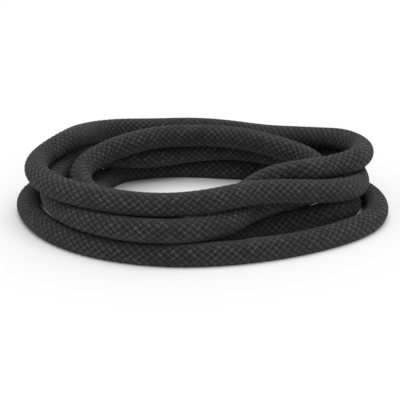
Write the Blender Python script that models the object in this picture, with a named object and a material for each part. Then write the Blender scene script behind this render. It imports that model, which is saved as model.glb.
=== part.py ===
"""Battle rope: one thick braided rope laid down in a loose coil, with a grip cap over each end.

Metres, +Z up. +X runs to the right along the coil, +Y away from its near side, and the origin
lies on the floor under the middle of the coil.
"""

import bmesh
import bpy
import numpy as np

# The rope and what is in it
ROPE_DIAMETER = 0.050
COVER_WALL = 0.007
STRAND_COUNT = 3
NEST_GAP = 0.0004

# Grip caps, closed at the tip, and the tape whipped round the rope's ends inside them
CAP_LENGTH = 0.150
CAP_WALL = 0.003
CAP_END = 0.006
WHIPPING_LENGTH = 0.040
WHIPPING_WALL = 0.001

# How the rope lies
LOOP_GAP = 0.0016
NEAR_RUN_SHARE = 2.6
BEND_SHARE = 1.9
FLAT_SHARE = 0.1

# Cuts run this far past what they cut
OVERRUN = 0.010

# Route of the rope's centre line, placed by hand: degrees round the coil, then the reach from
# its middle and the height above the floor, both as shares of the rope's diameter.
ROUTE_SHARES = (
    # The far end, on the floor inside the coil, rising to the near right
    (-153, 3.26, 0.58), (-139, 2.64, 0.58), (-117, 2.15, 0.58), (-92, 2.12, 0.60), (-79, 2.32, 0.80),
    (-66, 2.52, 1.08), (-53, 2.72, 1.35), (-43, 3.00, 1.58), (-36, 3.62, 1.82), (-31, 4.45, 2.14),
    (-27, 5.12, 2.38), (-22, 5.50, 2.44), (-16, 5.85, 2.43), (-10, 6.52, 2.42), (-3, 7.12, 2.42),
    # Round the top: right, far side, left, near side
    (4, 7.38, 2.41), (12, 7.24, 2.33), (20, 6.98, 2.20), (35, 6.40, 1.98), (55, 6.08, 1.62),
    (90, 6.52, 1.46), (120, 7.28, 1.50), (129, 7.56, 1.62), (137, 7.36, 1.80), (143, 7.10, 1.98),
    (149, 6.84, 2.14), (156, 6.60, 2.24), (163, 6.58, 2.30), (170, 6.76, 2.36), (178, 7.10, 2.41),
    (185, 7.42, 2.42), (192, 7.55, 2.42), (210, 7.22, 2.38), (240, 6.10, 2.34), (270, 5.10, 2.30),
    (300, 4.70, 2.30), (325, 5.60, 2.00), (337, 6.34, 1.68), (345, 6.80, 1.52),
    # Under it: right, down to the floor on the far side, up again at the left, near side
    (360, 6.98, 1.36), (375, 7.04, 1.24), (384, 7.08, 1.12), (390, 6.95, 1.00), (400, 6.55, 0.82),
    (415, 6.35, 0.56), (450, 6.60, 0.42), (480, 7.60, 0.42), (491, 8.05, 0.50), (502, 7.72, 0.92),
    (511, 7.15, 1.20), (521, 6.76, 1.34), (531, 6.74, 1.38), (545, 6.84, 1.41), (570, 7.05, 1.37),
    (600, 6.60, 1.38), (630, 5.65, 1.35), (658, 4.30, 1.30), (670, 4.32, 1.32), (683, 4.58, 1.41),
    (694, 5.26, 1.43), (702, 6.10, 1.43),
    # The inner loop over the far side, diving under the near side at the left
    (712, 6.40, 1.52), (722, 5.85, 1.78), (732, 4.66, 2.08), (744, 3.92, 2.26), (755, 3.50, 2.32),
    (775, 3.20, 2.33), (811, 3.02, 2.32), (830, 3.12, 2.32), (854, 3.55, 2.31), (870, 3.95, 2.28),
    (881, 4.50, 2.15), (891, 5.15, 1.98), (903, 5.60, 1.72), (915, 5.50, 1.50), (930, 5.15, 1.40),
    (958, 4.95, 1.42), (972, 4.78, 1.12), (985, 4.42, 0.70), (1000, 3.98, 0.46), (1014, 3.90, 0.41),
    (1028, 4.08, 0.44), (1038, 4.48, 0.68), (1050, 5.36, 1.00), (1057, 6.16, 1.04), (1064, 6.95, 0.80),
    # The middle layer of the far side, going down to the floor at the left
    (1071, 7.14, 0.62), (1080, 6.68, 0.54), (1091, 6.30, 0.85), (1102, 5.55, 1.22), (1116, 4.65, 1.38),
    (1128, 4.22, 1.39), (1142, 3.90, 1.39), (1172, 3.44, 1.38), (1188, 3.40, 1.38), (1212, 3.72, 1.38),
    (1222, 4.14, 1.39), (1229, 4.60, 1.38), (1235, 5.20, 1.20), (1241, 6.05, 0.84), (1247, 7.00, 0.52),
    (1254, 7.75, 0.40),
    # The outer loop on the floor, then the inner one, and the near end behind it
    (1263, 7.98, 0.40), (1275, 7.85, 0.40), (1290, 7.49, 0.40), (1320, 6.67, 0.40), (1350, 6.16, 0.40),
    (1380, 6.30, 0.40), (1405, 7.14, 0.40), (1425, 7.92, 0.40), (1436, 7.78, 0.40), (1444, 7.42, 0.40),
    (1452, 7.05, 0.40), (1460, 6.45, 0.40), (1475, 5.50, 0.40), (1487, 4.60, 0.40), (1503, 3.89, 0.40),
    (1532, 3.72, 0.40), (1565, 4.38, 0.40), (1578, 4.80, 0.40), (1590, 5.19, 0.40), (1601, 5.27, 0.40),
    (1615, 4.95, 0.45), (1632, 4.38, 0.57), (1650, 4.05, 0.57), (1680, 3.90, 0.57),
)
POINTS_PER_LOOP = 24

# Settling: places tested on each straight of the line, rounds, and how firmly each round moves it
PLACES = 4
ROUNDS = 240
PUSH_SHARE = 0.6
EASE_SHARE = 0.5

COVER_COLOUR = (0.028, 0.029, 0.032, 1)
STRAND_COLOUR = (0.10, 0.10, 0.10, 1)
TAPE_COLOUR = (0.02, 0.02, 0.02, 1)
CAP_COLOUR = (0.018, 0.018, 0.019, 1)

ROPE_RADIUS = ROPE_DIAMETER / 2
CAP_RADIUS = ROPE_RADIUS + NEST_GAP + CAP_WALL
BORE_RADIUS = ROPE_RADIUS - COVER_WALL
SIDES = 6
TUBE_TILT = np.pi / SIDES
FLAT_REACH = np.cos(np.pi / SIDES)


def spline(knots, values, at):
    """A natural cubic through the values at the knots, read at other places."""
    step = np.diff(knots)
    count = len(knots)
    rows = np.eye(count)
    right = np.zeros(count)
    slope = np.diff(values) / step
    for i in range(1, count - 1):
        rows[i, i - 1:i + 2] = step[i - 1], 2 * (step[i - 1] + step[i]), step[i]
        right[i] = 6 * (slope[i] - slope[i - 1])
    bend = np.linalg.solve(rows, right)
    i = np.clip(np.searchsorted(knots, at, side="right") - 1, 0, count - 2)
    t = (at - knots[i]) / step[i]
    u = 1 - t
    lift = (u ** 3 - u) * bend[i] + (t ** 3 - t) * bend[i + 1]
    return u * values[i] + t * values[i + 1] + lift * step[i] ** 2 / 6


def along(points):
    """How far along the line each of its points lies."""
    return np.concatenate([[0], np.cumsum(np.linalg.norm(np.diff(points, axis=0), axis=1))])


def route():
    """The line placed by hand, as evenly spaced points."""
    degrees, reach, height = np.array(ROUTE_SHARES).T
    at = np.arange(degrees[0], degrees[-1] + 1)
    turn = np.radians(at)
    out = spline(degrees, reach, at)
    line = np.stack([out * np.cos(turn), out * np.sin(turn), spline(degrees, height, at)], 1) * ROPE_DIAMETER
    run = along(line)
    count = round(POINTS_PER_LOOP * (at[-1] - at[0]) / 360) + 1
    even = np.linspace(0, run[-1], count)
    return np.stack([np.interp(even, run, line[:, axis]) for axis in range(3)], 1)


def half_width(run, past_cap):
    """The rope's radius along it, or the cap's where it wears one and a little past it."""
    from_tip = np.minimum(run, run[-1] - run)
    return np.where(from_tip < CAP_LENGTH + past_cap, CAP_RADIUS, ROPE_RADIUS)


def floor_height(run):
    """The lowest centre line: a rope on the floor is flattened by its weight, a cap isn't."""
    half = half_width(run, ROPE_DIAMETER)
    return np.where(half > ROPE_RADIUS, half + NEST_GAP, ROPE_RADIUS - FLAT_SHARE * ROPE_DIAMETER)


def settle(points):
    """Lays the line as the rope can lie: clear of itself and the floor, with no sharp bend."""
    points = points.copy()
    count = len(points)
    place = np.linspace(0, count - 1, (count - 1) * PLACES + 1)
    weight = np.clip(1 - np.abs(place[:, None] - np.arange(count)), 0, 1)
    for each in range(ROUNDS):
        line = weight @ points
        run = along(line)
        half = half_width(run, ROPE_DIAMETER)
        away = line[:, None] - line[None]
        far = np.linalg.norm(away, axis=2) + np.eye(len(line))
        apart = np.abs(run[:, None] - run[None]) > NEAR_RUN_SHARE * ROPE_DIAMETER
        short = np.where(apart, np.clip(half[:, None] + half[None] + LOOP_GAP - far, 0, None), 0)
        touching = short > 0
        push = (away / far[..., None] * short[..., None]).sum(1)
        push /= np.maximum(touching.sum(1), 1)[:, None]
        held = (weight * touching.any(1)[:, None]).sum(0)
        points += (weight.T @ push) / np.maximum(held, 1)[:, None] * PUSH_SHARE
        middle = (points[2:] + points[:-2]) / 2 - points[1:-1]
        reach = np.linalg.norm(points[2:] - points[:-2], axis=1) / 2
        most = reach ** 2 / (2 * BEND_SHARE * ROPE_DIAMETER)
        sag = np.linalg.norm(middle, axis=1)
        ease = 1 - np.minimum(1, most / np.maximum(sag, most))
        points[1:-1] += middle * ease[:, None] * EASE_SHARE
        points[0] = 2 * points[1] - points[2]
        points[-1] = 2 * points[-2] - points[-3]
        points[:, 2] = np.maximum(points[:, 2], floor_height(along(points)))
    points[:, :2] -= (points[:, :2].min(0) + points[:, :2].max(0)) / 2
    return points


def least_gap(points):
    """The least gap between two stretches of the rope, read at places on its line."""
    place = np.linspace(0, len(points) - 1, (len(points) - 1) * 2 * PLACES + 1)
    weight = np.clip(1 - np.abs(place[:, None] - np.arange(len(points))), 0, 1)
    line = weight @ points
    run = along(line)
    half = half_width(run, NEST_GAP)
    far = np.linalg.norm(line[:, None] - line[None], axis=2) - half[:, None] - half[None]
    return far[np.abs(run[:, None] - run[None]) > NEAR_RUN_SHARE * ROPE_DIAMETER].min()


def with_places(points, places):
    """The same line, with a point at each of these distances in place of any close by."""
    run = along(points)
    kept = np.abs(run[:, None] - places).min(1) > ROPE_RADIUS
    every = np.union1d(run[kept], places)
    return np.stack([np.interp(every, run, points[:, axis]) for axis in range(3)], 1)


def stretch(points, start, end):
    """The line between two distances from its first point, run on straight before that point."""
    run = along(points)
    ends = []
    for at in (start, end):
        ahead = (points[1] - points[0]) / run[1]
        inside = np.array([np.interp(at, run, points[:, axis]) for axis in range(3)])
        ends.append(inside + ahead * min(at, 0))
    kept = points[(run > max(start, 0)) & (run < end)]
    return np.vstack([ends[0], kept, ends[1]])


def offset(points, reach, turn):
    """The line of a strand at a reach from the centre line, turned round it by an angle."""
    ahead = np.diff(points, axis=0)
    ahead /= np.linalg.norm(ahead, axis=1)[:, None]
    ahead = np.vstack([ahead[:1], ahead[1:] + ahead[:-1], ahead[-1:]])
    ahead /= np.linalg.norm(ahead, axis=1)[:, None]
    side = np.cross(ahead, (0, 0, 1))
    side /= np.linalg.norm(side, axis=1)[:, None]
    top = np.cross(side, ahead)
    return points + reach * (np.cos(turn) * side + np.sin(turn) * top)


def material(name, colour, roughness):
    made = bpy.data.materials.new(name)
    made.use_nodes = True
    shader = made.node_tree.nodes["Principled BSDF"]
    shader.inputs["Base Color"].default_value = colour
    shader.inputs["Roughness"].default_value = roughness
    made.diffuse_color = colour
    return made


def tube(name, points, radius, finish=None):
    """A closed tube along a line, as a mesh, with a corner of its section straight below it."""
    curve = bpy.data.curves.new(name, "CURVE")
    curve.dimensions = "3D"
    curve.twist_mode = "Z_UP"
    curve.bevel_depth = radius
    curve.bevel_resolution = 1
    curve.render_resolution_u = 0
    curve.use_fill_caps = True
    line = curve.splines.new("POLY")
    line.points.add(len(points) - 1)
    for point, place in zip(line.points, points):
        point.co = (*place, 1)
        point.tilt = TUBE_TILT
    guide = bpy.data.objects.new(name + "_line", curve)
    bpy.context.scene.collection.objects.link(guide)
    bpy.context.view_layer.update()
    evaluated = guide.evaluated_get(bpy.context.evaluated_depsgraph_get())
    mesh = bpy.data.meshes.new_from_object(evaluated)
    bpy.data.objects.remove(guide)
    work = bmesh.new()
    work.from_mesh(mesh)
    bmesh.ops.remove_doubles(work, verts=work.verts, dist=NEST_GAP / 10)
    bmesh.ops.recalc_face_normals(work, faces=work.faces)
    work.to_mesh(mesh)
    work.free()
    mesh.materials.clear()
    made = bpy.data.objects.new(name, mesh)
    bpy.context.scene.collection.objects.link(made)
    if finish:
        mesh.materials.append(finish)
    return made


def cut(target, cutter):
    cutter.hide_render = True
    cutter.display_type = "WIRE"
    boolean = target.modifiers.new("cut_" + cutter.name, "BOOLEAN")
    boolean.operation = "DIFFERENCE"
    boolean.solver = "EXACT"
    boolean.object = cutter


def floor_cutter(points):
    """A slab below the floor, wider than the coil."""
    size = np.ptp(points, axis=0) + 2 * ROPE_DIAMETER + 2 * OVERRUN
    mesh = bpy.data.meshes.new("floor_cutter")
    work = bmesh.new()
    bmesh.ops.create_cube(work, size=1)
    bmesh.ops.scale(work, verts=work.verts, vec=(size[0], size[1], ROPE_DIAMETER))
    bmesh.ops.translate(work, verts=work.verts, vec=(0, 0, -ROPE_RADIUS))
    work.to_mesh(mesh)
    work.free()
    made = bpy.data.objects.new("floor_cutter", mesh)
    bpy.context.scene.collection.objects.link(made)
    return made


def cover(points):
    """The braided cover, hollow and open at both ends, flattened where it lies on the floor."""
    made = tube("braided_cover", points, ROPE_RADIUS, material("braid", COVER_COLOUR, 0.85))
    length = along(points)[-1]
    bore = stretch(stretch(points, -OVERRUN, length)[::-1], -OVERRUN, length + OVERRUN)
    cut(made, tube("cover_bore", bore, BORE_RADIUS))
    cut(made, floor_cutter(points))


def strands(points):
    """The strands of the core, packed in the cover's bore."""
    room = BORE_RADIUS * FLAT_REACH - NEST_GAP
    spread = 1 / np.sin(np.pi / STRAND_COUNT)
    radius = (room - NEST_GAP / 2 * spread) / (1 + spread)
    reach = (radius + NEST_GAP / 2) * spread
    finish = material("core_yarn", STRAND_COLOUR, 0.9)
    for number in range(STRAND_COUNT):
        turn = np.pi / 2 + 2 * np.pi * number / STRAND_COUNT
        tube(f"core_strand_{number + 1}", offset(points, reach, turn), radius, finish)


def end_pieces(points, which, tape, sheath):
    """The whipping round one end of the rope, and the cap over it, from the tip inwards."""
    whipping_bore = ROPE_RADIUS + NEST_GAP
    whipping_radius = whipping_bore + WHIPPING_WALL
    whipping = tube(f"end_whipping_{which}", stretch(points, 0, WHIPPING_LENGTH), whipping_radius, tape)
    past_whipping = stretch(points, -OVERRUN, WHIPPING_LENGTH + OVERRUN)
    cut(whipping, tube(f"whipping_bore_{which}", past_whipping, whipping_bore))
    cap = tube(f"grip_cap_{which}", stretch(points, -NEST_GAP - CAP_END, CAP_LENGTH), CAP_RADIUS, sheath)
    run = along(points)
    past_mouth = run[run > CAP_LENGTH + NEST_GAP].min()
    cut(cap, tube(f"cap_bore_{which}", stretch(points, -NEST_GAP, past_mouth), ROPE_RADIUS + NEST_GAP))
    pocket = stretch(points, -NEST_GAP, WHIPPING_LENGTH + NEST_GAP)
    cut(cap, tube(f"cap_pocket_{which}", pocket, whipping_radius + NEST_GAP))


for item in list(bpy.data.objects):
    bpy.data.objects.remove(item)

centre_line = settle(route())
rope_length = along(centre_line)[-1]
centre_line = with_places(centre_line, (CAP_LENGTH, rope_length - CAP_LENGTH))
print(f"rope length {rope_length:.3f} m")
print(f"least gap to itself {least_gap(centre_line) * 1000:.2f} mm")
cover(centre_line)
strands(centre_line)
end_tape = material("whipping_tape", TAPE_COLOUR, 0.5)
cap_sheath = material("cap_sheath", CAP_COLOUR, 0.55)
end_pieces(centre_line, "far", end_tape, cap_sheath)
end_pieces(centre_line[::-1], "near", end_tape, cap_sheath)
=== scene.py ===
"""Battle rope: the looks of a thick charcoal braided rope in a loose coil, on a pale floor."""

import math

import bpy
import numpy as np
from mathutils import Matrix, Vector


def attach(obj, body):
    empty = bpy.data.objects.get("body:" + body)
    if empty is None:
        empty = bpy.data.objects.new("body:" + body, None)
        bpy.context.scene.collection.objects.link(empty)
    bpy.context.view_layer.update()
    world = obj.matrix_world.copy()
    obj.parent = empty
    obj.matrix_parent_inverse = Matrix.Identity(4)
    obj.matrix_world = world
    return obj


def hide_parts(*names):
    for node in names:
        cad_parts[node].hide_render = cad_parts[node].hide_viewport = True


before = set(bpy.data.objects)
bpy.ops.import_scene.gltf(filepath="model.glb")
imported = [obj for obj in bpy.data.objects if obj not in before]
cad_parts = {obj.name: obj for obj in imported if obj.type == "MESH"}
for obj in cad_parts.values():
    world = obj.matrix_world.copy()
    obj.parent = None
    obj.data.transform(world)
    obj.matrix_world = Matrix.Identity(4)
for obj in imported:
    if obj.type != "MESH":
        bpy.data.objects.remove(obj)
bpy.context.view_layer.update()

# The rope and its caps, as in the part
ROPE_DIAMETER = 0.050
COVER_WALL = 0.007
STRAND_COUNT = 3
NEST_GAP = 0.0004
CAP_LENGTH = 0.150
CAP_WALL = 0.003
CAP_END = 0.006
WHIPPING_LENGTH = 0.040
WHIPPING_WALL = 0.001
LOOP_GAP = 0.0016
NEAR_RUN_SHARE = 2.6
BEND_SHARE = 1.9
FLAT_SHARE = 0.1

# Route of the rope's centre line, given as points: degrees round the coil, then the reach from
# its middle and the height above the floor, both as shares of the rope's diameter.
ROUTE_SHARES = (
    # The far end, on the floor inside the coil, rising to the near right
    (-153, 3.26, 0.58), (-139, 2.64, 0.58), (-117, 2.15, 0.58), (-92, 2.12, 0.60), (-79, 2.32, 0.80),
    (-66, 2.52, 1.08), (-53, 2.72, 1.35), (-43, 3.00, 1.58), (-36, 3.62, 1.82), (-31, 4.45, 2.14),
    (-27, 5.12, 2.38), (-22, 5.50, 2.44), (-16, 5.85, 2.43), (-10, 6.52, 2.42), (-3, 7.12, 2.42),
    # Round the top: right, far side, left, near side
    (4, 7.38, 2.41), (12, 7.24, 2.33), (20, 6.98, 2.20), (35, 6.40, 1.98), (55, 6.08, 1.62),
    (90, 6.52, 1.46), (120, 7.28, 1.50), (129, 7.56, 1.62), (137, 7.36, 1.80), (143, 7.10, 1.98),
    (149, 6.84, 2.14), (156, 6.60, 2.24), (163, 6.58, 2.30), (170, 6.76, 2.36), (178, 7.10, 2.41),
    (185, 7.42, 2.42), (192, 7.55, 2.42), (210, 7.22, 2.38), (240, 6.10, 2.34), (270, 5.10, 2.30),
    (300, 4.70, 2.30), (325, 5.60, 2.00), (337, 6.34, 1.68), (345, 6.80, 1.52),
    # Under it: right, down to the floor on the far side, up again at the left, near side
    (360, 6.98, 1.36), (375, 7.04, 1.24), (384, 7.08, 1.12), (390, 6.95, 1.00), (400, 6.55, 0.82),
    (415, 6.35, 0.56), (450, 6.60, 0.42), (480, 7.60, 0.42), (491, 8.05, 0.50), (502, 7.72, 0.92),
    (511, 7.15, 1.20), (521, 6.76, 1.34), (531, 6.74, 1.38), (545, 6.84, 1.41), (570, 7.05, 1.37),
    (600, 6.60, 1.38), (630, 5.65, 1.35), (658, 4.30, 1.30), (670, 4.32, 1.32), (683, 4.58, 1.41),
    (694, 5.26, 1.43), (702, 6.10, 1.43),
    # The inner loop over the far side, diving under the near side at the left
    (712, 6.40, 1.52), (722, 5.85, 1.78), (732, 4.66, 2.08), (744, 3.92, 2.26), (755, 3.50, 2.32),
    (775, 3.20, 2.33), (811, 3.02, 2.32), (830, 3.12, 2.32), (854, 3.55, 2.31), (870, 3.95, 2.28),
    (881, 4.50, 2.15), (891, 5.15, 1.98), (903, 5.60, 1.72), (915, 5.50, 1.50), (930, 5.15, 1.40),
    (958, 4.95, 1.42), (972, 4.78, 1.12), (985, 4.42, 0.70), (1000, 3.98, 0.46), (1014, 3.90, 0.41),
    (1028, 4.08, 0.44), (1038, 4.48, 0.68), (1050, 5.36, 1.00), (1057, 6.16, 1.04), (1064, 6.95, 0.80),
    # The middle layer of the far side, going down to the floor at the left
    (1071, 7.14, 0.62), (1080, 6.68, 0.54), (1091, 6.30, 0.85), (1102, 5.55, 1.22), (1116, 4.65, 1.38),
    (1128, 4.22, 1.39), (1142, 3.90, 1.39), (1172, 3.44, 1.38), (1188, 3.40, 1.38), (1212, 3.72, 1.38),
    (1222, 4.14, 1.39), (1229, 4.60, 1.38), (1235, 5.20, 1.20), (1241, 6.05, 0.84), (1247, 7.00, 0.52),
    (1254, 7.75, 0.40),
    # The outer loop on the floor, then the inner one, and the near end behind it
    (1263, 7.98, 0.40), (1275, 7.85, 0.40), (1290, 7.49, 0.40), (1320, 6.67, 0.40), (1350, 6.16, 0.40),
    (1380, 6.30, 0.40), (1405, 7.14, 0.40), (1425, 7.92, 0.40), (1436, 7.78, 0.40), (1444, 7.42, 0.40),
    (1452, 7.05, 0.40), (1460, 6.45, 0.40), (1475, 5.50, 0.40), (1487, 4.60, 0.40), (1503, 3.89, 0.40),
    (1532, 3.72, 0.40), (1565, 4.38, 0.40), (1578, 4.80, 0.40), (1590, 5.19, 0.40), (1601, 5.27, 0.40),
    (1615, 4.95, 0.45), (1632, 4.38, 0.57), (1650, 4.05, 0.57), (1680, 3.90, 0.57),
)
POINTS_PER_LOOP = 24
PLACES = 4
ROUNDS = 240
PUSH_SHARE = 0.6
EASE_SHARE = 0.5
STEPS_PER_RADIUS = 4

# The braid: rows of diamond floats round the rope, each row half a float ahead of the next
ROWS = 20
PITCH_SHARE = 0.336
STEPS_PER_PITCH = 4
STEPS_PER_ROW = 2
RELIEF = 0.0022
HOLE_SHARE = 0.5
HOLE_POWER = 2
EDGE_POWER = 4

# The braid's yarn: how much each float, grain and slow mottling give to its tone, the painted shade in the
# grooves between a float's yarns and towards its sides, tips and corners, and the colours that tone and
# painted shade stand for
YARNS = 3
GRAIN_SCALE = 420
GRAIN_DETAIL = 3
CLOUD_SCALE = 22
CLOUD_DETAIL = 2
FLOAT_TONE = 0.12
GRAIN_TONE = 0.38
CLOUD_TONE = 0.22
# Painted shade: the colour in the grooves between a float's yarns drops to this share, and rises by the next
# share on the yarns' crests
FURROW_SHADE = 0.62
YARN_SHADE_RANGE = 0.48
# Painted shade: the colour falls to dark towards a float's sides, tips and corners, scaled by this
PILLOW_SHADE = 1.30
SIDE_POWER = 2.4
TIP_POWER = 8
CORNER_POWER = 2
# The darkest stop is reached mostly where the painted shade pulls the tone down
YARN_STOPS = (
    (0.07, (0.0014, 0.0014, 0.0016)),
    (0.30, (0.022, 0.0222, 0.0235)),
    (0.60, (0.094, 0.095, 0.101)),
)
YARN_ROUGH = 0.66
GRAIN_ROUGH = 0.3
SHEEN = 0.08
SHEEN_ROUGH = 0.5
SPECULAR = 0.25
YARN_BUMP = 0.5
GRAIN_BUMP = 0.2
BRAID_BUMP = 0.0040

# The grip caps: film shrunk over the braid, with a rolled lip at the mouth and a rounded tip
CAP_POINTS = 84
CAP_STEP = 0.0016
CAP_WAVE = 0.0010
WAVE_LENGTH = 0.031
WAVE_SWAY = 3
WAVE_LOBES = 2
TIP_ROUND = 0.006
TIP_RINGS = 7
TIP_FLAT = 0.004
LIP_WIDTH = 0.0035
LIP_HEIGHT = 0.0007
LIP_ROLL = 0.0010
LIP_TUCK = 0.0030

# Plain tubes inside the rope
TUBE_POINTS = 12
TUBE_STEP = 0.012

# Plain looks: the dark and the light colour, the scale of the mottling and the least roughness
YARN_LOOK = (0.07, 0.07, 0.07), (0.14, 0.14, 0.14), 600, 0.75
TAPE_LOOK = (0.02, 0.02, 0.02), (0.035, 0.035, 0.035), 120, 0.4
SHEATH_LOOK = (0.006, 0.006, 0.0065), (0.014, 0.014, 0.015), 60, 0.42
DARK_AT = 0.3
LIGHT_AT = 0.7
MOTTLE_DETAIL = 4
MOTTLE_ROUGH = 0.15
MOTTLE_STRENGTH = 0.3
MOTTLE_BUMP = 0.0004

# Camera, where the photograph was taken from
VIEW_DOWN = math.radians(23)
VIEW_DISTANCE_SHARE = 54
AIM_SHARE = (-0.060, -1.680, 0.85)
SENSOR = 36
LENS = 108

# Stage: a pale floor, a white room and a broad lamp overhead
FLOOR_REACH = 12
FLOOR_COLOUR = (0.97, 0.97, 0.97, 1)
FLOOR_ROUGH = 0.9
ROOM_COLOUR = (1, 1, 1, 1)
ROOM_LIGHT = 0.50
LAMP_LIGHT = 1.75
LAMP_WIDTH = math.radians(56)
LAMP_TILT = (math.radians(8), math.radians(6), 0)

ROPE_RADIUS = ROPE_DIAMETER / 2
CAP_RADIUS = ROPE_RADIUS + NEST_GAP + CAP_WALL


def spline(knots, values, at):
    """A natural cubic through the values at the knots, read at other places."""
    step = np.diff(knots)
    count = len(knots)
    rows = np.eye(count)
    right = np.zeros(count)
    slope = np.diff(values) / step
    for i in range(1, count - 1):
        rows[i, i - 1:i + 2] = step[i - 1], 2 * (step[i - 1] + step[i]), step[i]
        right[i] = 6 * (slope[i] - slope[i - 1])
    bend = np.linalg.solve(rows, right)
    i = np.clip(np.searchsorted(knots, at, side="right") - 1, 0, count - 2)
    t = (at - knots[i]) / step[i]
    u = 1 - t
    lift = (u ** 3 - u) * bend[i] + (t ** 3 - t) * bend[i + 1]
    return u * values[i] + t * values[i + 1] + lift * step[i] ** 2 / 6


def along(points):
    """How far along the line each of its points lies."""
    return np.concatenate([[0], np.cumsum(np.linalg.norm(np.diff(points, axis=0), axis=1))])


def route():
    """The given line, as evenly spaced points."""
    degrees, reach, height = np.array(ROUTE_SHARES).T
    at = np.arange(degrees[0], degrees[-1] + 1)
    turn = np.radians(at)
    out = spline(degrees, reach, at)
    line = np.stack([out * np.cos(turn), out * np.sin(turn), spline(degrees, height, at)], 1) * ROPE_DIAMETER
    run = along(line)
    count = round(POINTS_PER_LOOP * (at[-1] - at[0]) / 360) + 1
    even = np.linspace(0, run[-1], count)
    return np.stack([np.interp(even, run, line[:, axis]) for axis in range(3)], 1)


def half_width(run, past_cap):
    """The rope's radius along it, or the cap's where it wears one and a little past it."""
    from_tip = np.minimum(run, run[-1] - run)
    return np.where(from_tip < CAP_LENGTH + past_cap, CAP_RADIUS, ROPE_RADIUS)


def floor_height(run):
    """The lowest centre line: a rope on the floor is flattened by its weight, a cap isn't."""
    half = half_width(run, ROPE_DIAMETER)
    return np.where(half > ROPE_RADIUS, half + NEST_GAP, ROPE_RADIUS - FLAT_SHARE * ROPE_DIAMETER)


def settle(points):
    """Lays the line as the rope can lie: clear of itself and the floor, with no sharp bend."""
    points = points.copy()
    count = len(points)
    place = np.linspace(0, count - 1, (count - 1) * PLACES + 1)
    weight = np.clip(1 - np.abs(place[:, None] - np.arange(count)), 0, 1)
    for each in range(ROUNDS):
        line = weight @ points
        run = along(line)
        half = half_width(run, ROPE_DIAMETER)
        away = line[:, None] - line[None]
        far = np.linalg.norm(away, axis=2) + np.eye(len(line))
        apart = np.abs(run[:, None] - run[None]) > NEAR_RUN_SHARE * ROPE_DIAMETER
        short = np.where(apart, np.clip(half[:, None] + half[None] + LOOP_GAP - far, 0, None), 0)
        touching = short > 0
        push = (away / far[..., None] * short[..., None]).sum(1)
        push /= np.maximum(touching.sum(1), 1)[:, None]
        held = (weight * touching.any(1)[:, None]).sum(0)
        points += (weight.T @ push) / np.maximum(held, 1)[:, None] * PUSH_SHARE
        middle = (points[2:] + points[:-2]) / 2 - points[1:-1]
        reach = np.linalg.norm(points[2:] - points[:-2], axis=1) / 2
        most = reach ** 2 / (2 * BEND_SHARE * ROPE_DIAMETER)
        sag = np.linalg.norm(middle, axis=1)
        ease = 1 - np.minimum(1, most / np.maximum(sag, most))
        points[1:-1] += middle * ease[:, None] * EASE_SHARE
        points[0] = 2 * points[1] - points[2]
        points[-1] = 2 * points[-2] - points[-3]
        points[:, 2] = np.maximum(points[:, 2], floor_height(along(points)))
    points[:, :2] -= (points[:, :2].min(0) + points[:, :2].max(0)) / 2
    return points


def smooth(points, step):
    """The curve through the settled points, as close points, nowhere below the floor."""
    run = along(points)
    at = np.linspace(0, run[-1], round(run[-1] / step) + 1)
    line = np.stack([spline(run, points[:, axis], at) for axis in range(3)], 1)
    line[:, 2] = np.maximum(line[:, 2], ROPE_RADIUS - FLAT_SHARE * ROPE_DIAMETER)
    return line


def frames(line):
    """Along the line, and the two directions across it, carried along without twist."""
    ahead = np.gradient(line, axis=0)
    ahead /= np.linalg.norm(ahead, axis=1)[:, None]
    side = np.zeros_like(ahead)
    side[0] = np.cross(ahead[0], (0, 0, 1))
    side[0] /= np.linalg.norm(side[0])
    for i in range(1, len(line)):
        side[i] = side[i - 1] - ahead[i] * (side[i - 1] @ ahead[i])
        side[i] /= np.linalg.norm(side[i])
    return ahead, side, np.cross(side, ahead)


class Sweep:
    """A line to set rings of points round, at any distance along it."""

    def __init__(self, line):
        self.run = along(line)
        self.parts = (line, *frames(line))
        self.length = self.run[-1]

    def read(self, part, at):
        return np.stack([np.interp(at, self.run, self.parts[part][:, axis]) for axis in range(3)], -1)

    def place(self, at, turn, reach):
        """Points at distances along, angles round and distances out."""
        inside = np.clip(at, 0, self.length)
        side = self.read(2, inside) * np.cos(turn)[..., None]
        top = self.read(3, inside) * np.sin(turn)[..., None]
        past = self.read(1, inside) * (at - inside)[..., None]
        return self.read(0, inside) + past + (side + top) * reach[..., None]


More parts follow.
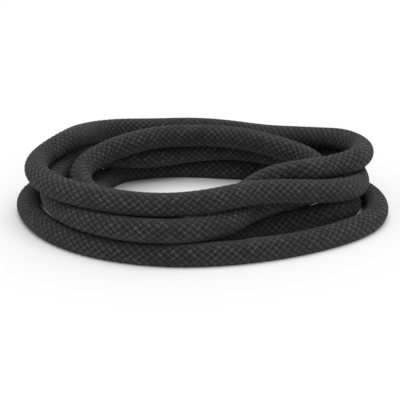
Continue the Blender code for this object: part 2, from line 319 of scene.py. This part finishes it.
def ring_mesh(name, points, across, down):
    """A closed tube from rings of points, with its two texture coordinates at each corner."""
    rings, around = points.shape[:2]
    i, j = np.meshgrid(np.arange(rings - 1), np.arange(around), indexing="ij")
    i, j = i.ravel(), j.ravel()
    k = (j + 1) % around
    quads = np.stack([i * around + j, i * around + k, (i + 1) * around + k, (i + 1) * around + j], 1)
    vertices = points.reshape(-1, 3)
    tips = np.stack([points[0].mean(0), points[-1].mean(0)])
    first, last = len(vertices), len(vertices) + 1
    ring = np.arange(around)
    step = (ring + 1) % around
    low = np.stack([np.full(around, first), step, ring], 1)
    end = (rings - 1) * around
    high = np.stack([np.full(around, last), end + ring, end + step], 1)
    mesh = bpy.data.meshes.new(name)
    mesh.vertices.add(len(vertices) + 2)
    mesh.vertices.foreach_set("co", np.vstack([vertices, tips]).astype(np.float32).ravel())
    corners = np.concatenate([quads.ravel(), low.ravel(), high.ravel()])
    sizes = np.concatenate([np.full(len(quads), 4), np.full(2 * around, 3)])
    mesh.loops.add(len(corners))
    mesh.loops.foreach_set("vertex_index", corners.astype(np.int32))
    mesh.polygons.add(len(sizes))
    mesh.polygons.foreach_set("loop_start", (np.cumsum(sizes) - sizes).astype(np.int32))
    wrap = across[:, :1] + (across[0, -1] - across[0, 0]) * around / (around - 1)
    wide = np.hstack([across, wrap])
    tall = np.hstack([down, down[:, :1]])
    corner_u = np.stack([wide[i, j], wide[i, j + 1], wide[i + 1, j + 1], wide[i + 1, j]], 1)
    corner_v = np.stack([tall[i, j], tall[i, j + 1], tall[i + 1, j + 1], tall[i + 1, j]], 1)
    layer = mesh.uv_layers.new(name="braid")
    both = np.stack([corner_u.ravel(), corner_v.ravel()], 1)
    rest = np.zeros((6 * around, 2))
    layer.data.foreach_set("uv", np.vstack([both, rest]).astype(np.float32).ravel())
    mesh.update(calc_edges=True)
    mesh.validate()
    mesh.shade_smooth()
    made = bpy.data.objects.new(name, mesh)
    bpy.context.scene.collection.objects.link(made)
    return made


def braid(sweep):
    """The cover: diamond floats that stand proud, with holes where four of them meet."""
    pitch = PITCH_SHARE * ROPE_DIAMETER
    rings = round(sweep.length / pitch * STEPS_PER_PITCH) + 1
    i, j = np.meshgrid(np.arange(rings), np.arange(ROWS * STEPS_PER_ROW), indexing="ij")
    down = i / STEPS_PER_PITCH
    across = j / STEPS_PER_ROW
    one_way = 1 - np.abs((down + across / 2) % 1 * 2 - 1)
    other_way = 1 - np.abs((down - across / 2) % 1 * 2 - 1)
    float_top = (1 - one_way ** EDGE_POWER) * (1 - other_way ** EDGE_POWER)
    hole = 1 - (one_way * other_way) ** HOLE_POWER
    height = HOLE_SHARE * hole + (1 - HOLE_SHARE) * float_top
    reach = ROPE_RADIUS + RELIEF * (height - 1 / 2)
    at = np.clip(down * pitch, 0, sweep.length)
    points = sweep.place(at, across / ROWS * 2 * math.pi, reach)
    points[..., 2] = np.maximum(points[..., 2], 0)
    return ring_mesh("rope_braid", points, across, down)


def cap(name, sweep, near):
    """A sheath shrunk on one end: a rolled lip at its mouth, faint waves over the braid, a round tip."""
    around = np.arange(CAP_POINTS)
    turn = 2 * math.pi * around / CAP_POINTS
    rounding = np.linspace(0, math.pi / 2, TIP_RINGS)[:0:-1]
    tip = -NEST_GAP - CAP_END
    straight = np.arange(tip + TIP_ROUND, CAP_LENGTH, CAP_STEP)
    at = np.concatenate([tip + TIP_ROUND * (1 - np.sin(rounding)), straight])
    rounded = CAP_RADIUS - TIP_ROUND * (1 - np.cos(rounding))
    out = np.concatenate([rounded, np.full(len(straight), CAP_RADIUS)])
    flare = np.exp(-((at - CAP_LENGTH + LIP_WIDTH) / LIP_WIDTH) ** 2)
    body = np.clip((at - WHIPPING_LENGTH / 2) / WHIPPING_LENGTH, 0, 1)
    sway = WAVE_SWAY * np.sin(WAVE_LOBES * turn)
    wave = np.sin(2 * math.pi * at[:, None] / WAVE_LENGTH + sway) * np.sin(ROWS / 2 * turn)
    dent = CAP_WAVE * body[:, None] * (1 - wave) / 2
    reach = out[:, None] - dent + LIP_HEIGHT * flare[:, None]
    mouth_at = np.array([CAP_LENGTH, CAP_LENGTH + LIP_ROLL, CAP_LENGTH, CAP_LENGTH - LIP_TUCK])
    mouth_out = np.array([CAP_RADIUS + LIP_HEIGHT, ROPE_RADIUS + RELIEF, ROPE_RADIUS, ROPE_RADIUS - RELIEF])
    at = np.concatenate([at, mouth_at])
    reach = np.vstack([reach, np.repeat(mouth_out[:, None], CAP_POINTS, 1)])
    first = np.array([at[0], *at])
    reach = np.vstack([np.full((1, CAP_POINTS), TIP_FLAT), reach])
    place = np.repeat(first[:, None], CAP_POINTS, 1)
    if near:
        place = sweep.length - place
    points = sweep.place(place, np.repeat(turn[None], len(place), 0), reach)
    points[..., 2] = np.maximum(points[..., 2], 0)
    if near:
        points = points[:, ::-1]
    across = np.repeat(around[None] / CAP_POINTS, len(place), 0).astype(float)
    return ring_mesh(name, points, across, place / CAP_LENGTH)


def plain_tube(name, sweep, start, end, radius, reach=0.0, angle=0.0):
    """A smooth round tube, on the centre line or set off from it at an angle."""
    at = np.linspace(start, end, round((end - start) / TUBE_STEP) + 1)[:, None]
    turn = 2 * math.pi * np.arange(TUBE_POINTS) / TUBE_POINTS
    ring = sweep.place(*np.broadcast_arrays(at, turn, radius))
    aside = sweep.place(*np.broadcast_arrays(at, angle, reach))
    middle = sweep.place(*np.broadcast_arrays(at, angle, 0))
    across, down = np.broadcast_arrays(turn / turn[-1], at / ROPE_DIAMETER)
    return ring_mesh(name, ring + aside - middle, across, down)


class Nodes:
    """Short calls to build a material's nodes."""

    def __init__(self, name):
        self.material = bpy.data.materials.new(name)
        self.material.use_nodes = True
        self.tree = self.material.node_tree
        self.shader = self.tree.nodes["Principled BSDF"]

    def add(self, kind, **values):
        node = self.tree.nodes.new(kind)
        for key, value in values.items():
            setattr(node, key, value)
        return node

    def link(self, source, target):
        self.tree.links.new(source, target)

    def math(self, operation, a, b=None):
        node = self.add("ShaderNodeMath", operation=operation)
        for socket, value in zip(node.inputs, (a, b)):
            if value is None:
                continue
            if isinstance(value, (int, float)):
                socket.default_value = value
            else:
                self.link(value, socket)
        return node.outputs[0]

    def noise(self, scale, detail):
        """Noise in the piece's own space."""
        if not hasattr(self, "space"):
            self.space = self.add("ShaderNodeTexCoord").outputs["Object"]
        node = self.add("ShaderNodeTexNoise")
        node.inputs["Scale"].default_value = scale
        node.inputs["Detail"].default_value = detail
        self.link(self.space, node.inputs["Vector"])
        return node.outputs[0]

    def bump(self, height, strength, distance):
        node = self.add("ShaderNodeBump")
        node.inputs["Strength"].default_value = strength
        node.inputs["Distance"].default_value = distance
        self.link(height, node.inputs["Height"])
        self.link(node.outputs[0], self.shader.inputs["Normal"])

    def ramp(self, value, stops):
        node = self.add("ShaderNodeValToRGB")
        self.link(value, node.inputs[0])
        ramp = node.color_ramp
        while len(ramp.elements) < len(stops):
            ramp.elements.new(1)
        for element, (place, colour) in zip(ramp.elements, stops):
            element.position = place
            element.color = (*colour, 1)
        return node.outputs[0]


def braid_material():
    """Fine matt yarn: each float has its own tone and its yarns run along it; painted shade darkens the
    grooves between the yarns and each float's edges, tips and corners.
    """
    n = Nodes("braid_yarn")
    uv = n.add("ShaderNodeUVMap", uv_map="braid")
    split = n.add("ShaderNodeSeparateXYZ")
    n.link(uv.outputs[0], split.inputs[0])
    half = n.math("MULTIPLY", split.outputs[0], 0.5)
    one_way = n.math("ADD", n.math("ADD", split.outputs[1], half), 0.5)
    other_way = n.math("ADD", n.math("SUBTRACT", split.outputs[1], half), 0.5)
    key = n.add("ShaderNodeCombineXYZ")
    n.link(n.math("FLOOR", one_way), key.inputs[0])
    n.link(n.math("FLOOR", other_way), key.inputs[1])
    each = n.add("ShaderNodeTexWhiteNoise", noise_dimensions="3D")
    n.link(key.outputs[0], each.inputs[0])
    grain = n.noise(GRAIN_SCALE, GRAIN_DETAIL)
    cloud = n.noise(CLOUD_SCALE, CLOUD_DETAIL)
    row = n.math("SUBTRACT", n.math("FLOOR", one_way), n.math("FLOOR", other_way))
    odd = n.math("MODULO", row, 2)
    first = n.math("FRACT", one_way)
    second = n.math("FRACT", other_way)
    swap = n.math("MULTIPLY", odd, n.math("SUBTRACT", second, first))
    along = n.math("ADD", first, swap)
    wide = n.math("SUBTRACT", second, swap)
    to_tip = n.math("ABSOLUTE", n.math("SUBTRACT", n.math("MULTIPLY", along, 2), 1))
    to_side = n.math("ABSOLUTE", n.math("SUBTRACT", n.math("MULTIPLY", wide, 2), 1))
    side_fall = n.math("SUBTRACT", 1, n.math("POWER", to_side, SIDE_POWER))
    tip_fall = n.math("SUBTRACT", 1, n.math("POWER", to_tip, TIP_POWER))
    corner = n.math("SUBTRACT", 1, n.math("POWER", n.math("MULTIPLY", to_side, to_tip), CORNER_POWER))
    pillow = n.math("MULTIPLY", n.math("MULTIPLY", side_fall, tip_fall), corner)
    yarn = n.math("ABSOLUTE", n.math("SINE", n.math("MULTIPLY", wide, math.pi * YARNS)))
    tone = n.math("MULTIPLY", each.outputs[0], FLOAT_TONE)
    tone = n.math("ADD", tone, n.math("MULTIPLY", grain, GRAIN_TONE))
    tone = n.math("ADD", tone, n.math("MULTIPLY", cloud, CLOUD_TONE))
    # Painted shade in the grooves between a float's yarns
    tone = n.math("MULTIPLY", tone, n.math("ADD", FURROW_SHADE, n.math("MULTIPLY", yarn, YARN_SHADE_RANGE)))
    # Painted shade towards each float's sides, tips and corners, where the floats meet
    tone = n.math("MULTIPLY", tone, n.math("MULTIPLY", pillow, PILLOW_SHADE))
    n.link(n.ramp(tone, YARN_STOPS), n.shader.inputs["Base Color"])
    n.link(n.math("ADD", YARN_ROUGH, n.math("MULTIPLY", grain, GRAIN_ROUGH)), n.shader.inputs["Roughness"])
    n.shader.inputs["Sheen Weight"].default_value = SHEEN
    n.shader.inputs["Sheen Roughness"].default_value = SHEEN_ROUGH
    n.shader.inputs["Specular IOR Level"].default_value = SPECULAR
    height = n.math("ADD", pillow, n.math("MULTIPLY", yarn, YARN_BUMP))
    height = n.math("ADD", height, n.math("MULTIPLY", grain, GRAIN_BUMP))
    n.bump(height, 1, BRAID_BUMP)
    return n.material


def plain_material(name, dark, light, scale, rough):
    """Black film or tape, or grey yarn, with faint mottling and a fine grain."""
    n = Nodes(name)
    grain = n.noise(scale, MOTTLE_DETAIL)
    n.link(n.ramp(grain, ((DARK_AT, dark), (LIGHT_AT, light))), n.shader.inputs["Base Color"])
    n.link(n.math("ADD", rough, n.math("MULTIPLY", grain, MOTTLE_ROUGH)), n.shader.inputs["Roughness"])
    n.bump(grain, MOTTLE_STRENGTH, MOTTLE_BUMP)
    return n.material


def make_camera():
    camera = bpy.data.objects.new("camera", bpy.data.cameras.new("camera"))
    bpy.context.scene.collection.objects.link(camera)
    aim = Vector(AIM_SHARE) * ROPE_DIAMETER
    back = Vector((0, -math.cos(VIEW_DOWN), math.sin(VIEW_DOWN)))
    camera.location = aim + back * VIEW_DISTANCE_SHARE * ROPE_DIAMETER
    camera.rotation_euler = back.to_track_quat("Z", "Y").to_euler()
    camera.data.sensor_width = SENSOR
    camera.data.lens = LENS
    bpy.context.scene.camera = camera


def make_stage():
    """A pale floor, a room that is white where it is seen, and a soft lamp overhead."""
    mesh = bpy.data.meshes.new("floor")
    corners = [(x * FLOOR_REACH, y * FLOOR_REACH, 0) for x, y in ((-1, -1), (1, -1), (1, 1), (-1, 1))]
    mesh.from_pydata(corners, [], [(0, 1, 2, 3)])
    floor = bpy.data.objects.new("floor", mesh)
    bpy.context.scene.collection.objects.link(floor)
    n = Nodes("floor_white")
    n.shader.inputs["Base Color"].default_value = FLOOR_COLOUR
    n.shader.inputs["Roughness"].default_value = FLOOR_ROUGH
    n.shader.inputs["Specular IOR Level"].default_value = 0
    mesh.materials.append(n.material)

    world = bpy.data.worlds.new("room")
    bpy.context.scene.world = world
    world.use_nodes = True
    tree = world.node_tree
    seen = tree.nodes.new("ShaderNodeLightPath")
    mix = tree.nodes.new("ShaderNodeMix")
    mix.data_type = "FLOAT"
    mix.inputs[2].default_value = ROOM_LIGHT
    mix.inputs[3].default_value = 1
    white = seen.outputs["Is Camera Ray"]
    for kind in ("Is Glossy Ray", "Is Transmission Ray"):
        either = tree.nodes.new("ShaderNodeMath")
        either.operation = "MAXIMUM"
        tree.links.new(white, either.inputs[0])
        tree.links.new(seen.outputs[kind], either.inputs[1])
        white = either.outputs[0]
    tree.links.new(white, mix.inputs[0])
    tree.links.new(mix.outputs[0], tree.nodes["Background"].inputs["Strength"])
    tree.nodes["Background"].inputs["Color"].default_value = ROOM_COLOUR

    bpy.context.scene.view_settings.view_transform = "Standard"
    lamp = bpy.data.lights.new("overhead", "SUN")
    lamp.energy = LAMP_LIGHT
    lamp.angle = LAMP_WIDTH
    above = bpy.data.objects.new("overhead", lamp)
    above.rotation_euler = LAMP_TILT
    bpy.context.scene.collection.objects.link(above)


make_camera()
make_stage()
centre_line = smooth(settle(route()), ROPE_RADIUS / STEPS_PER_RADIUS)
sweep = Sweep(centre_line)
rope = braid(sweep)
rope.data.materials.append(braid_material())
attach(rope, "root")
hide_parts("braided_cover")

yarn = plain_material("core_yarn", *YARN_LOOK)
tape = plain_material("whipping_tape", *TAPE_LOOK)
sheath = plain_material("cap_sheath", *SHEATH_LOOK)
room = ROPE_RADIUS - COVER_WALL - RELIEF
spread = 1 / math.sin(math.pi / STRAND_COUNT)
strand_radius = room / (1 + spread)
pieces = []
for number in range(STRAND_COUNT):
    angle = math.pi / 2 + 2 * math.pi * number / STRAND_COUNT
    name = f"core_strand_{number + 1}"
    made = plain_tube("yarn_" + name, sweep, 0, sweep.length, strand_radius, strand_radius * spread, angle)
    pieces.append((made, name, yarn, "core_yarn"))
for end, near in (("far", False), ("near", True)):
    start, stop = (sweep.length - WHIPPING_LENGTH, sweep.length) if near else (0, WHIPPING_LENGTH)
    wrap = plain_tube("tape_" + end, sweep, start, stop, ROPE_RADIUS + RELIEF / 2 + WHIPPING_WALL / 2)
    pieces.append((wrap, "end_whipping_" + end, tape, "whipping_tape"))
    pieces.append((cap("sheath_" + end, sweep, near), "grip_cap_" + end, sheath, "cap_sheath"))
for made, node, look, slot in pieces:
    made.data.materials.append(look)
    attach(made, "root")
    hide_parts(node)
